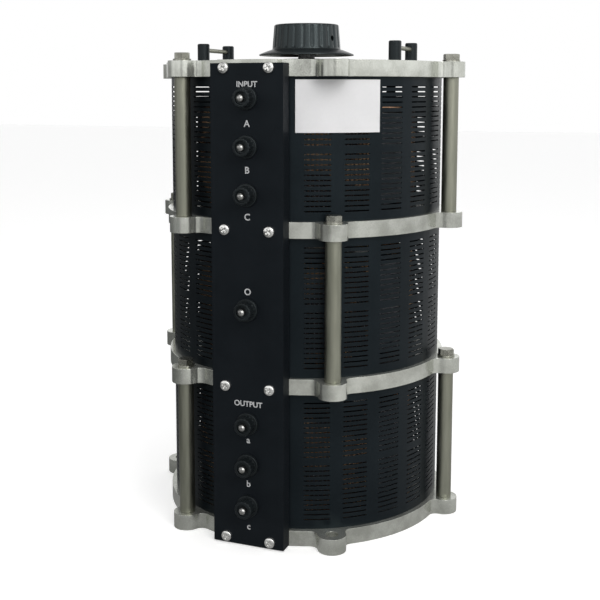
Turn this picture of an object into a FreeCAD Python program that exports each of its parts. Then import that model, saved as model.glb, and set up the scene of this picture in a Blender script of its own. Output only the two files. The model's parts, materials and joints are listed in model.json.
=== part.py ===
import FreeCAD, Part
import math
import os
import re
import Sketcher
from FreeCAD import Placement, Rotation, Vector

# Open-frame three-phase variable autotransformer: three coil units stacked on one shaft.
#
# Frame: +Z up, the terminal panel faces -Y, and the origin is the centre of the base casting's underside.
# An angle round the stack is counted from -Y towards +X. All lengths are in millimetres.

# ---------------------------------------------------------------- driving dimensions

SIZES = {
    # stack
    "tier_pitch": 136, "casting_height": 14,
    # castings
    "rim_radius": 132.5, "rim_bore_radius": 84, "centre_radius": 42, "lug_circle_radius": 140,
    "lug_radius": 12.5, "lug_fillet": 7, "lug_hole_radius": 4.5, "floor_hole_radius": 5.5,
    "arm_width": 18, "arm_corner_radius": 6,
    "hub_radius": 22, "hub_rise": 2, "lip_height": 2, "lip_wall": 4, "boss_width": 54, "boss_depth": 38,
    # fits
    "running_clearance": 0.04, "seat_clearance": 0.02, "free_clearance": 0.3,
    # shaft, bushes and stop
    "shaft_radius": 8, "bush_wall": 4, "shaft_foot_gap": 3, "collar_radius": 13, "collar_height": 8,
    "peg_radius": 2.5, "peg_circle_radius": 17, "peg_depth": 6, "peg_height": 5,
    "stop_finger_width": 6, "stop_finger_height": 4, "stop_half_angle": 20,
    # tie posts and their bolts
    "post_radius": 7, "spigot_length": 13, "bolt_radius": 4, "bolt_head_flats": 13,
    "bolt_head_height": 5.3, "bolt_grip": 16, "washer_radius": 8, "washer_thickness": 1.6,
    # coil
    "coil_outer_radius": 104, "coil_inner_radius": 46, "coil_height": 92, "coil_edge_radius": 4,
    "winding_thickness": 5, "winding_gap_angle": 30, "seat_thickness": 3, "seat_inner_radius": 86,
    "seat_outer_radius": 102, "clamp_flange_radius": 58, "clamp_thickness": 4, "clamp_wall": 3.5,
    "clamp_bore_radius": 27, "clamp_screw_circle": 34, "clamp_screw_radius": 3,
    "clamp_screw_head_radius": 4.8, "clamp_screw_head_height": 3.5, "clamp_screw_grip": 8,
    # brush gear
    "brush_angle": 55, "brush_circle_radius": 82, "brush_width": 8, "brush_length": 10,
    "brush_height": 16, "brush_air": 0.1, "arm_hub_radius": 14, "arm_hub_length": 18, "arm_lift": 3,
    "arm_thickness": 5, "arm_disc_radius": 56, "arm_bar_width": 26, "arm_bar_end": 6,
    "rib_height": 5, "rib_width": 3, "holder_wall": 3, "holder_height": 12, "spring_radius": 3,
    "spring_wall": 0.8, "ring_wall": 5, "ring_height": 5, "ring_drop": 1,
    "finger_width": 8, "finger_thickness": 3, "finger_angle": 180,
    # knob and bearing cap
    "knob_lift": 7, "skirt_radius": 45, "skirt_edge": 1.2, "skirt_rise": 6, "knob_radius": 32,
    "knob_taper": 1.5, "knob_height": 29, "knob_top_edge": 1.5, "flute_radius": 3.2,
    "flute_depth": 1.1, "knob_bore_depth": 17, "knob_screw_radius": 2.5, "knob_screw_length": 10,
    "knob_screw_angle": 71, "cap_radius": 23.5, "cap_thickness": 1.8,
    # covers and nameplate
    "cover_radius": 128, "cover_thickness": 1, "cover_end_angle": 13.5, "vent_width": 23,
    "vent_height": 2.8, "vent_pitch": 8.2, "vent_margin": 7.5, "vent_first_angle": 25,
    "plate_thickness": 0.8, "plate_width": 74, "plate_height": 44.5, "plate_angle": 33,
    "plate_drop": 2.5,
    # terminal panel
    "panel_distance": 142, "panel_width": 66, "panel_thickness": 1.5, "panel_flange": 13,
    "panel_foot_gap": 1, "panel_top_gap": 3, "panel_screw_spacing": 41, "panel_screw_radius": 2.5,
    "panel_screw_head_radius": 4.9, "panel_screw_head_height": 3.2, "panel_screw_grip": 9,
    # terminals
    "input_height": 390, "input_pitch": 40.5, "neutral_height": 211, "output_height": 111,
    "output_pitch": 37, "stud_radius": 3, "stud_out": 15, "stud_in": 18, "barrel_radius": 8,
    "barrel_height": 12, "barrel_flange_radius": 10, "barrel_flange_height": 3,
    "barrel_neck_radius": 5.5, "barrel_neck_depth": 4, "back_nut_flats": 10, "back_nut_height": 5,
    # handles
    "handle_offset": 95, "handle_spacing": 56, "ferrule_radius": 5.75, "ferrule_height": 18.5,
    "ferrule_spigot_radius": 3, "ferrule_spigot_length": 8, "rod_radius": 2, "rod_height": 12.5,
}

TIERS = ("lower", "middle", "upper")
CASTINGS = ("base", "lower", "upper", "top")
LUGS = 6
POST_ANGLES = {"lower": (90, 210, 330), "middle": (30, 150, 270), "upper": (90, 210, 330)}
CLAMP_SCREW_ANGLES = (30, 150, 270)
VENT_COLUMNS = 21
VENT_ROWS = 6
KNOB_FLUTES = 24
ARM_RIBS = 8

doc = FreeCAD.newDocument("VariableAutotransformer")
sheet = doc.addObject("Spreadsheet::Sheet", "Sizes")
for row, (alias, size) in enumerate(SIZES.items(), start=1):
    sheet.set("A%d" % row, alias)
    sheet.set("B%d" % row, str(size))
    sheet.setAlias("B%d" % row, alias)
doc.recompute()

subparts = []


# ---------------------------------------------------------------- small tools

def bound(text):
    """The expression with each driving dimension written as a cell of the sheet."""
    return re.sub(r"[a-z]+(?:_[a-z]+)*", lambda m: "Sizes." + m.group(0) if m.group(0) in SIZES else m.group(0),
                  str(text))


def number(text):
    """What the expression comes to now."""
    result = sheet.evalExpression(bound(text))
    return float(getattr(result, "Value", result))


def bind(thing, prop, text):
    thing.setExpression(prop, bound(text))


def keep(thing, label):
    """Makes the object one of the sub-parts that are written out."""
    thing.Label = label
    subparts.append(thing)
    return thing


def place(thing, x="0", y="0", z="0", turn=None, axis=Vector(0, 0, 1)):
    """Sets the thing at x, y, z and turns it about an axis; each is an expression."""
    degrees = 0.0 if turn is None else number(turn)
    thing.Placement = Placement(Vector(number(x), number(y), number(z)), Rotation(axis, degrees))
    bind(thing, "Placement.Base.x", x)
    bind(thing, "Placement.Base.y", y)
    bind(thing, "Placement.Base.z", z)
    if degrees:
        bind(thing, "Placement.Rotation.Angle", turn)
    return thing


def around(radius, angle):
    """Expressions for x and y at that radius and angle round the stack."""
    return "(%s) * sin(%s)" % (radius, angle), "-(%s) * cos(%s)" % (radius, angle)


def cylinder(name, radius, height, z="0"):
    made = doc.addObject("Part::Cylinder", name)
    bind(made, "Radius", radius)
    bind(made, "Height", height)
    return place(made, z=z)


def tube(name, outer, inner, height, z="0"):
    made = cut(name, cylinder(name + "_outer", outer, height), cylinder(name + "_inner", inner, height))
    return place(made, z=z)


def box(name, length, width, height, x="0", y="0", z="0"):
    """A box centred on x and y, standing on z."""
    made = doc.addObject("Part::Box", name)
    bind(made, "Length", length)
    bind(made, "Width", width)
    bind(made, "Height", height)
    return place(made, "(%s) - (%s) / 2" % (x, length), "(%s) - (%s) / 2" % (y, width), z)


def hexagon(name, flats, height, z="0"):
    made = doc.addObject("Part::Prism", name)
    made.Polygon = 6
    bind(made, "Circumradius", "(%s) / sqrt(3)" % flats)
    bind(made, "Height", height)
    return place(made, z=z)


def cut(name, base, tool):
    made = doc.addObject("Part::Cut", name)
    made.Base, made.Tool = base, tool
    return made


def fuse(name, *pieces):
    made = doc.addObject("Part::MultiFuse", name)
    made.Shapes = list(pieces)
    made.Refine = True
    return made


def copies(label, pattern_piece, spots):
    """One sub-part of several equal solids: a copy of the piece at each spot of place() arguments."""
    links = []
    for index, spot in enumerate(spots):
        link = doc.addObject("App::Link", "%s_%d" % (label, index))
        link.LinkedObject = pattern_piece
        links.append(place(link, **spot))
    made = doc.addObject("Part::Compound", label)
    made.Links = links
    return keep(made, label)


def body(name):
    return doc.addObject("PartDesign::Body", name)


def origin(owner, role):
    return [f for f in owner.Origin.OriginFeatures if f.Role == role][0]


def sketch(owner, role, name, turn=None):
    """A sketch on one of the body's own planes, turned about the upright axis on request."""
    made = owner.newObject("Sketcher::SketchObject", name)
    made.AttachmentSupport = [(origin(owner, role), "")]
    made.MapMode = "FlatFace"
    if turn is not None:
        made.AttachmentOffset = Placement(Vector(0, 0, 0), Rotation(Vector(0, 1, 0), number(turn)))
        bind(made, "AttachmentOffset.Rotation.Angle", turn)
    return made


def pin_point(drawing, edge, end, x, y):
    """Holds one point of the sketch at x, y from its origin."""
    for kind, axis, text in (("DistanceX", -2, x), ("DistanceY", -1, y)):
        if text == "0":
            drawing.addConstraint(Sketcher.Constraint("PointOnObject", edge, end, axis))
        else:
            made = drawing.addConstraint(Sketcher.Constraint(kind, -1, 1, edge, end, number(text)))
            drawing.setExpression("Constraints[%d]" % made, bound(text))


def outline(drawing, corners):
    """A closed outline of straight lines through the corners, each an (x, y) pair of expressions."""
    first = drawing.GeometryCount
    points = [Vector(number(x), number(y), 0) for x, y in corners]
    for start, end in zip(points, points[1:] + points[:1]):
        drawing.addGeometry(Part.LineSegment(start, end), False)
    for index in range(len(corners)):
        following = first + (index + 1) % len(corners)
        drawing.addConstraint(Sketcher.Constraint("Coincident", first + index, 2, following, 1))
    for index, (x, y) in enumerate(corners):
        pin_point(drawing, first + index, 1, x, y)


def rectangle(drawing, low, high):
    """A rectangle between two opposite corners."""
    outline(drawing, [low, (high[0], low[1]), high, (low[0], high[1])])


def circle(drawing, radius, x="0", y="0"):
    middle = Vector(number(x), number(y), 0)
    edge = drawing.addGeometry(Part.Circle(middle, Vector(0, 0, 1), number(radius)), False)
    made = drawing.addConstraint(Sketcher.Constraint("Radius", edge, number(radius)))
    drawing.setExpression("Constraints[%d]" % made, bound(radius))
    if x == "0" and y == "0":
        drawing.addConstraint(Sketcher.Constraint("Coincident", edge, 3, -1, 1))
    else:
        pin_point(drawing, edge, 3, x, y)


def pad(owner, drawing, name, length, start=None):
    if start is not None:
        bind(drawing, "AttachmentOffset.Base.z", start)
    made = owner.newObject("PartDesign::Pad", name)
    made.Profile = drawing
    bind(made, "Length", length)
    return made


def pocket(owner, drawing, name, depth=None, start=None, both_ways=False):
    """Cuts along the sketch's normal to a depth, or right through with no depth."""
    if start is not None:
        bind(drawing, "AttachmentOffset.Base.z", start)
    made = owner.newObject("PartDesign::Pocket", name)
    made.Profile = drawing
    made.Reversed = not both_ways
    made.Midplane = both_ways
    if depth is None:
        made.Type = 1
    else:
        bind(made, "Length", depth)
    return made


def pattern(owner, feature, name, count, angle="360"):
    """Repeats the feature round the upright axis: over a full turn, or over an angle to the last copy."""
    made = owner.newObject("PartDesign::PolarPattern", name)
    made.Originals = [feature]
    made.Axis = (origin(owner, "Z_Axis"), [""])
    made.Occurrences = count
    if angle == "360":
        made.Angle = 360
    else:
        bind(made, "Angle", angle)
    owner.Tip = made
    return made


def turned(name, profile, angle="360"):
    """A body turned about the upright axis from an outline of (radius, height) corners.

    Less than a full turn lies evenly on both sides of +X.
    """
    made = body(name)
    drawing = sketch(made, "XZ_Plane", name + "_profile")
    outline(drawing, profile)
    spin = made.newObject("PartDesign::Revolution", name + "_turn")
    spin.Profile = drawing
    spin.ReferenceAxis = (drawing, ["V_Axis"])
    spin.Midplane = True
    if angle == "360":
        spin.Angle = 360
    else:
        bind(spin, "Angle", angle)
    return made


def fillet(owner, feature, name, radius, wanted):
    """Rounds each edge of the feature that the test picks by its two end points."""
    doc.recompute()
    names = []
    for index, edge in enumerate(feature.Shape.Edges, start=1):
        if wanted(edge):
            names.append("Edge%d" % index)
    made = owner.newObject("PartDesign::Fillet", name)
    made.Base = (feature, names)
    bind(made, "Radius", radius)
    owner.Tip = made
    return made


def floor(index):
    """Height of the top face of the casting that carries the tier."""
    return "(%d * tier_pitch + casting_height)" % index


BUSH_RADIUS = "(shaft_radius + bush_wall)"
SHAFT_BORE = "(shaft_radius + seat_clearance)"
CLEAR_HEIGHT = "(tier_pitch - casting_height)"
COIL_TOP = "(seat_thickness + coil_height)"
CLAMP_TOP = "(seat_thickness + coil_height + clamp_thickness)"
ARM_FLOOR = "(seat_thickness + coil_height + clamp_thickness + arm_lift)"
ARM_TOP = "(seat_thickness + coil_height + clamp_thickness + arm_lift + arm_thickness)"
STACK_TOP = "(3 * tier_pitch + casting_height)"
COVER_BORE = "(cover_radius - cover_thickness)"
CLAMP_RADIUS = "(coil_inner_radius - free_clearance)"


# ---------------------------------------------------------------- castings

def casting(index, name):
    """Rim, hub, six arms and six lugs in one, with a flat boss at the front for the panel."""
    made = body(name + "_casting")
    disc = sketch(made, "XY_Plane", name + "_disc_outline")
    circle(disc, "rim_radius")
    pad(made, disc, name + "_disc", "casting_height")

    lug = sketch(made, "XY_Plane", name + "_lug_outline")
    circle(lug, "lug_radius", *around("lug_circle_radius", 150))
    lug_pad = pad(made, lug, name + "_lug", "casting_height")
    lugs = pattern(made, lug_pad, name + "_lugs", LUGS)
    fillet(made, lugs, name + "_lug_fillets", "lug_fillet", between("rim_radius - 2", "rim_radius + 2"))

    boss = sketch(made, "XY_Plane", name + "_boss_outline")
    back = "panel_thickness + boss_depth - panel_distance"
    rectangle(boss, ("-boss_width / 2", "panel_thickness - panel_distance"), ("boss_width / 2", back))
    pad(made, boss, name + "_boss", "casting_height")

    hub = sketch(made, "XY_Plane", name + "_hub_outline")
    circle(hub, "hub_radius")
    pad(made, hub, name + "_hub", "casting_height + hub_rise")

    window = sketch(made, "XY_Plane", name + "_window_outline")
    sector(window, "centre_radius", "rim_bore_radius", "arm_width / 2")
    window_cut = pocket(made, window, name + "_window")
    windows = pattern(made, window_cut, name + "_windows", LUGS)
    corners = between("centre_radius - 1", "rim_bore_radius + 1")
    fillet(made, windows, name + "_window_fillets", "arm_corner_radius", corners)

    lip = sketch(made, "XY_Plane", name + "_lip_outline")
    circle(lip, COVER_BORE + " - free_clearance")
    circle(lip, COVER_BORE + " - free_clearance - lip_wall")
    below = "0" if name == "base" else "lip_height"
    above = "0" if name == "top" else "lip_height"
    pad(made, lip, name + "_lip", "%s + casting_height + %s" % (below, above), start="-(%s)" % below)

    bore = sketch(made, "XY_Plane", name + "_bore_outline")
    circle(bore, BUSH_RADIUS)
    pocket(made, bore, name + "_bore")

    # the lugs under a post are tapped, and the others let a tie bolt or a floor bolt through
    first_post = POST_ANGLES[TIERS[min(index, len(TIERS) - 1)]][0]
    hole = sketch(made, "XY_Plane", name + "_bolt_hole_outline")
    circle(hole, "floor_hole_radius" if name == "base" else "lug_hole_radius",
           *around("lug_circle_radius", first_post + 360 // LUGS))
    bolt_hole = pocket(made, hole, name + "_bolt_hole")
    if name == "top":
        pattern(made, bolt_hole, name + "_bolt_holes", LUGS)
    else:
        pattern(made, bolt_hole, name + "_bolt_holes", LUGS // 2)
        drill(made, name + "_post_tap", "bolt_radius", "spigot_length", "casting_height",
              around("lug_circle_radius", first_post), LUGS // 2)

    taps = sketch(made, "XZ_Plane", name + "_panel_tap_outline")
    for side in ("-", ""):
        circle(taps, "panel_screw_radius + seat_clearance", side + "panel_screw_spacing / 2",
               "casting_height / 2")
    bind(taps, "AttachmentOffset.Base.z", "panel_distance - panel_thickness - panel_screw_grip")
    pocket(made, taps, name + "_panel_taps", "panel_screw_grip")
    if name != "top":
        drill(made, name + "_clamp_tap", "clamp_screw_radius", "clamp_screw_grip", "casting_height",
              around("clamp_screw_circle", CLAMP_SCREW_ANGLES[0]), len(CLAMP_SCREW_ANGLES))
    if name == "base":
        drill(made, name + "_peg_hole", "peg_radius", "peg_depth", "casting_height + hub_rise",
              around("peg_circle_radius", "(brush_angle + stop_half_angle)"))
    if name == "top":
        for side in ("-", ""):
            for end in ("-", ""):
                tag = "_ferrule_hole_%s%s" % ("left" if side else "right", "front" if end else "back")
                drill(made, name + tag, "ferrule_spigot_radius", "ferrule_spigot_length", "casting_height",
                      (side + "handle_offset", end + "handle_spacing / 2"))
    return keep(place(made, z="%d * tier_pitch" % index), name + "_casting")


def drill(owner, name, radius, depth, top, centre, count=1):
    """A blind hole down from a height for a piece of that radius, repeated round the axis on request."""
    drawing = sketch(owner, "XY_Plane", name + "_outline")
    circle(drawing, "%s + seat_clearance" % radius, *centre)
    made = pocket(owner, drawing, name, depth, start="%s - (%s)" % (top, depth))
    if count > 1:
        pattern(owner, made, name + "s", count)


def upright(edge):
    """Whether the edge is straight and parallel to +Z."""
    ends = [vertex.Point for vertex in edge.Vertexes]
    if len(ends) != 2 or not isinstance(edge.Curve, Part.Line):
        return False
    return (ends[0] - ends[1]).cross(Vector(0, 0, 1)).Length < 1e-6


def reach(edge):
    """Distance of the edge's first end from the upright axis."""
    return math.hypot(edge.Vertexes[0].Point.x, edge.Vertexes[0].Point.y)


def between(inner, outer):
    """A test for upright edges that lie between two radii."""
    return lambda edge: upright(edge) and number(inner) < reach(edge) < number(outer)


def sector(drawing, inner, outer, half_gap):
    """The window between two arms: two arcs round the origin and two lines parallel to the arms beside it."""
    r0, r1, gap = number(inner), number(outer), number(half_gap)
    side = math.radians(30)
    corners = []
    for radius in (r0, r1):
        swing = side - math.asin(gap / radius)
        corners.append([Vector(radius * math.cos(a), radius * math.sin(a), 0) for a in (-swing, swing)])
    arcs = []
    for radius, (low, high) in zip((r0, r1), corners):
        start, end = math.atan2(low.y, low.x), math.atan2(high.y, high.x)
        ring = Part.Circle(Vector(), Vector(0, 0, 1), radius)
        arcs.append(drawing.addGeometry(Part.ArcOfCircle(ring, start, end)))
    sides = [drawing.addGeometry(Part.LineSegment(corners[0][k], corners[1][k])) for k in (0, 1)]
    for arc, text in zip(arcs, (inner, outer)):
        drawing.addConstraint(Sketcher.Constraint("Coincident", arc, 3, -1, 1))
        made = drawing.addConstraint(Sketcher.Constraint("Radius", arc, number(text)))
        drawing.setExpression("Constraints[%d]" % made, bound(text))
    for k, line in enumerate(sides):
        drawing.addConstraint(Sketcher.Constraint("Coincident", line, 1, arcs[0], k + 1))
        drawing.addConstraint(Sketcher.Constraint("Coincident", line, 2, arcs[1], k + 1))
        drawing.addConstraint(Sketcher.Constraint("Angle", line, (-side, side)[k]))
        made = drawing.addConstraint(Sketcher.Constraint("Distance", -1, 1, line, gap))
        drawing.setExpression("Constraints[%d]" % made, bound(half_gap))


castings = [casting(index, name) for index, name in enumerate(CASTINGS)]


# ---------------------------------------------------------------- tie posts, bolts and washers

def post_piece():
    """A post with a spigot that screws into the lug below and a tapped hole for the bolt above."""
    hole = "(bolt_radius + seat_clearance)"
    bottom = "%s - bolt_grip - 2" % CLEAR_HEIGHT
    return turned("post", [("0", "-spigot_length"), ("bolt_radius", "-spigot_length"), ("bolt_radius", "0"),
                           ("post_radius", "0"), ("post_radius", CLEAR_HEIGHT), (hole, CLEAR_HEIGHT),
                           (hole, bottom), ("0", bottom)])


def bolt_piece():
    """A hexagon-head bolt, its head's underside at the origin."""
    head = hexagon("bolt_prism", "bolt_head_flats", "bolt_head_height")
    crown = doc.addObject("Part::Cone", "bolt_crown")
    bind(crown, "Radius1", "bolt_head_flats / 2 + bolt_head_height * 1.6")
    bind(crown, "Radius2", "bolt_head_flats / 2")
    bind(crown, "Height", "bolt_head_height")
    top = doc.addObject("Part::MultiCommon", "bolt_head")
    top.Shapes = [head, crown]
    length = "(washer_thickness + casting_height + bolt_grip)"
    return fuse("bolt", top, cylinder("bolt_shank", "bolt_radius", length, z="-%s" % length))


post = post_piece()
bolt = bolt_piece()
washer = tube("washer", "washer_radius", "bolt_radius + seat_clearance", "washer_thickness")
bolt_spots, washer_spots = [], []
for index, tier in enumerate(TIERS):
    spots = [around("lug_circle_radius", angle) for angle in POST_ANGLES[tier]]
    copies(tier + "_posts", post, [dict(x=x, y=y, z=floor(index)) for x, y in spots])
    washer_spots += [dict(x=x, y=y, z=floor(index + 1)) for x, y in spots]
    bolt_spots += [dict(x=x, y=y, z=floor(index + 1) + " + washer_thickness") for x, y in spots]
copies("post_bolts", bolt, bolt_spots)
copies("post_washers", washer, washer_spots)


# ---------------------------------------------------------------- coils

def coil(index, tier):
    """A strip-wound ring core in its winding, seated on an insulating ring and clamped by a flanged spool."""
    z = floor(index)
    ring = [("seat_inner_radius", "0"), ("seat_outer_radius", "0"), ("seat_outer_radius", "seat_thickness"),
            ("seat_inner_radius", "seat_thickness")]
    keep(place(turned(tier + "_seat", ring), z=z), tier + "_seat")

    low, high = "seat_thickness", COIL_TOP
    wall = "winding_thickness"
    coil_ring = turned(tier + "_winding", [("coil_inner_radius", low), ("coil_outer_radius", low),
                                           ("coil_outer_radius", high), ("coil_inner_radius", high)],
                       "360 - winding_gap_angle")
    hollow = sketch(coil_ring, "XZ_Plane", tier + "_hollow_profile")
    rectangle(hollow, ("coil_inner_radius + %s" % wall, "%s + %s" % (low, wall)),
              ("coil_outer_radius - %s" % wall, "%s - %s" % (high, wall)))
    groove = coil_ring.newObject("PartDesign::Groove", tier + "_hollow")
    groove.Profile = hollow
    groove.ReferenceAxis = (hollow, ["V_Axis"])
    groove.Angle = 360
    outside = lambda edge: isinstance(edge.Curve, Part.Circle) and (
        abs(edge.Curve.Radius - number("coil_inner_radius")) < 0.1
        or abs(edge.Curve.Radius - number("coil_outer_radius")) < 0.1)
    fillet(coil_ring, groove, tier + "_winding_edges", "coil_edge_radius", outside)
    place(coil_ring, z=z, turn="brush_angle + stop_half_angle + 90")
    keep(coil_ring, tier + "_winding")

    gap = "%s + free_clearance" % wall
    core = tube(tier + "_core", "coil_outer_radius - (%s)" % gap, "coil_inner_radius + %s" % gap,
                "coil_height - 2 * (%s)" % gap, z="%s + %s + %s" % (z, low, gap))
    keep(core, tier + "_core")

    spool = turned(tier + "_clamp", [("clamp_bore_radius", "0"), (CLAMP_RADIUS, "0"),
                                     (CLAMP_RADIUS, COIL_TOP), ("clamp_flange_radius", COIL_TOP),
                                     ("clamp_flange_radius", CLAMP_TOP),
                                     (CLAMP_RADIUS + " - clamp_wall", CLAMP_TOP),
                                     (CLAMP_RADIUS + " - clamp_wall", "clamp_thickness"),
                                     ("clamp_bore_radius", "clamp_thickness")])
    hole = sketch(spool, "XY_Plane", tier + "_clamp_hole_outline")
    circle(hole, "clamp_screw_radius + seat_clearance", *around("clamp_screw_circle", CLAMP_SCREW_ANGLES[0]))
    hole_cut = pocket(spool, hole, tier + "_clamp_hole", "clamp_thickness")
    pattern(spool, hole_cut, tier + "_clamp_holes", len(CLAMP_SCREW_ANGLES))
    keep(place(spool, z=z), tier + "_clamp")


for index, tier in enumerate(TIERS):
    coil(index, tier)
clamp_screw = turned("clamp_screw", [
    ("0", "-clamp_thickness - clamp_screw_grip"),
    ("clamp_screw_radius", "-clamp_thickness - clamp_screw_grip"),
    ("clamp_screw_radius", "0"), ("clamp_screw_head_radius", "0"),
    ("clamp_screw_head_radius", "clamp_screw_head_height"), ("0", "clamp_screw_head_height")])
screw_spots = []
for index in range(len(TIERS)):
    for angle in CLAMP_SCREW_ANGLES:
        x, y = around("clamp_screw_circle", angle)
        screw_spots.append(dict(x=x, y=y, z=floor(index) + " + clamp_thickness"))
copies("clamp_screws", clamp_screw, screw_spots)


# ---------------------------------------------------------------- covers and nameplate

def cover(index, tier):
    """A rolled sheet sleeve, open behind the terminal panel, with two groups of rows of vents."""
    sleeve = turned(tier + "_cover", [(COVER_BORE, "0"), ("cover_radius", "0"),
                                      ("cover_radius", CLEAR_HEIGHT), (COVER_BORE, CLEAR_HEIGHT)],
                    "360 - 2 * cover_end_angle")
    vents = sketch(sleeve, "XZ_Plane", tier + "_vent_profile", turn="vent_first_angle - 180")
    for row in range(VENT_ROWS):
        low = "(vent_margin + %d * vent_pitch)" % row
        rectangle(vents, (COVER_BORE + " - 1", low), ("cover_radius + 1", low + " + vent_height"))
        high = "(%s - vent_margin - %d * vent_pitch)" % (CLEAR_HEIGHT, row)
        rectangle(vents, (COVER_BORE + " - 1", high + " - vent_height"), ("cover_radius + 1", high))
    groove = sleeve.newObject("PartDesign::Groove", tier + "_vent_column")
    groove.Profile = vents
    groove.ReferenceAxis = (vents, ["V_Axis"])
    groove.Midplane = True
    bind(groove, "Angle", "vent_width / cover_radius * 180 / pi")
    pattern(sleeve, groove, tier + "_vents", VENT_COLUMNS, "360 - 2 * vent_first_angle")
    keep(place(sleeve, z=floor(index), turn="90"), tier + "_cover")


for index, tier in enumerate(TIERS):
    cover(index, tier)
plate_inner = "cover_radius + free_clearance"
nameplate = turned("nameplate", [
    (plate_inner, "0"), (plate_inner + " + plate_thickness", "0"),
    (plate_inner + " + plate_thickness", "plate_height"), (plate_inner, "plate_height")],
    "plate_width / cover_radius * 180 / pi")
place(nameplate, z="3 * tier_pitch - plate_drop - plate_height", turn="plate_angle - 90")
keep(nameplate, "nameplate")


# ---------------------------------------------------------------- terminal panel

TERMINALS = ["input_height - %d * input_pitch" % k for k in range(3)] + ["neutral_height"]
TERMINALS += ["output_height - %d * output_pitch" % k for k in range(3)]
FORWARD = Vector(1, 0, 0)


def terminal_panel():
    """A folded channel with a hole for each terminal and two screws at each casting."""
    channel = body("terminal_panel")
    section = sketch(channel, "XY_Plane", "panel_section")
    front, inside, back = "-panel_distance", "panel_thickness - panel_distance", "panel_flange - panel_distance"
    half, inner = "panel_width / 2", "(panel_width / 2 - panel_thickness)"
    outline(section, [("-" + half, front), (half, front), (half, back), (inner, back), (inner, inside),
                      ("-" + inner, inside), ("-" + inner, back), ("-" + half, back)])
    pad(channel, section, "panel_sheet", STACK_TOP + " - panel_foot_gap - panel_top_gap", start="panel_foot_gap")
    holes = sketch(channel, "XZ_Plane", "panel_holes_outline")
    for index in range(len(CASTINGS)):
        for side in ("-", ""):
            circle(holes, "panel_screw_radius + seat_clearance", side + "panel_screw_spacing / 2",
                   "%d * tier_pitch + casting_height / 2" % index)
    for height in TERMINALS:
        circle(holes, "barrel_neck_radius + seat_clearance", "0", height)
    pocket(channel, holes, "panel_holes", both_ways=True)
    return keep(channel, "terminal_panel")


terminal_panel()
panel_screw = turned("panel_screw", [
    ("0", "-panel_thickness - panel_screw_grip + 0.5"),
    ("panel_screw_radius", "-panel_thickness - panel_screw_grip + 0.5"),
    ("panel_screw_radius", "0"), ("panel_screw_head_radius", "0"),
    ("panel_screw_head_radius", "panel_screw_head_height * 0.4"),
    ("panel_screw_head_radius * 0.72", "panel_screw_head_height"), ("0", "panel_screw_head_height")])
barrel = turned("barrel", [
    ("stud_radius + seat_clearance", "-panel_thickness - barrel_neck_depth"),
    ("barrel_neck_radius", "-panel_thickness - barrel_neck_depth"), ("barrel_neck_radius", "0"),
    ("barrel_flange_radius", "0"), ("barrel_flange_radius", "barrel_flange_height"),
    ("barrel_radius", "barrel_flange_height"), ("barrel_radius", "barrel_height - 1"),
    ("barrel_radius - 1", "barrel_height"), ("stud_radius + seat_clearance", "barrel_height")])
stud = cylinder("stud", "stud_radius", "stud_out + stud_in")
back_nut = cut("back_nut", hexagon("back_nut_prism", "back_nut_flats", "back_nut_height"),
               cylinder("back_nut_bore", "stud_radius + seat_clearance", "back_nut_height"))
panel_spots = []
for index in range(len(CASTINGS)):
    for side in ("-", ""):
        panel_spots.append(dict(x=side + "panel_screw_spacing / 2", y="-panel_distance",
                                z="%d * tier_pitch + casting_height / 2" % index, turn="90", axis=FORWARD))
copies("panel_screws", panel_screw, panel_spots)
copies("terminal_barrels", barrel, [dict(y="-panel_distance", z=height, turn="90", axis=FORWARD)
                                    for height in TERMINALS])
copies("terminal_studs", stud, [dict(y="stud_in - panel_distance", z=height, turn="90", axis=FORWARD)
                                for height in TERMINALS])
nut_seat = "panel_thickness + barrel_neck_depth + back_nut_height - panel_distance"
copies("terminal_nuts", back_nut, [dict(y=nut_seat, z=height, turn="90", axis=FORWARD) for height in TERMINALS])


# ---------------------------------------------------------------- bushes, bearing cap, stop peg and handles

bush = tube("bush", BUSH_RADIUS, "shaft_radius + running_clearance", "casting_height + hub_rise")
copies("shaft_bushes", bush, [dict(z="%d * tier_pitch" % index) for index in range(len(CASTINGS))])
keep(tube("bearing_cap", "cap_radius", "shaft_radius + free_clearance", "cap_thickness",
          z=STACK_TOP + " + hub_rise"), "bearing_cap")
x, y = around("peg_circle_radius", "(brush_angle + stop_half_angle)")
peg = cylinder("stop_peg", "peg_radius", "peg_depth + peg_height")
keep(place(peg, x, y, "casting_height + hub_rise - peg_depth"), "stop_peg")

ferrule = turned("ferrule", [
    ("0", "-ferrule_spigot_length"), ("ferrule_spigot_radius", "-ferrule_spigot_length"),
    ("ferrule_spigot_radius", "0"), ("ferrule_radius", "0"), ("ferrule_radius", "ferrule_height - 0.8"),
    ("ferrule_radius - 0.8", "ferrule_height"), ("0", "ferrule_height")])
cross_hole = cylinder("ferrule_hole_tool", "rod_radius + seat_clearance", "ferrule_radius + 1")
place(cross_hole, z="rod_height", turn="90", axis=FORWARD)
drilled = cut("drilled_ferrule", ferrule, cross_hole)
rod = cylinder("rod", "rod_radius", "handle_spacing")
ferrule_spots = [dict(x=side + "handle_offset", y=end + "handle_spacing / 2", z=STACK_TOP, turn=turn)
                 for side in ("-", "") for end, turn in (("-", "180"), ("", "0"))]
copies("handle_ferrules", drilled, ferrule_spots)
copies("handle_rods", rod, [dict(x=side + "handle_offset", y="handle_spacing / 2",
                                 z=STACK_TOP + " + rod_height", turn="90", axis=FORWARD) for side in ("-", "")])


# ---------------------------------------------------------------- shaft, stop collar and brush gear

KNOB_FLOOR = "(3 * tier_pitch + casting_height + knob_lift)"
keep(cylinder("shaft", "shaft_radius", KNOB_FLOOR + " + knob_bore_depth - shaft_foot_gap", z="shaft_foot_gap"),
     "shaft")

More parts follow.
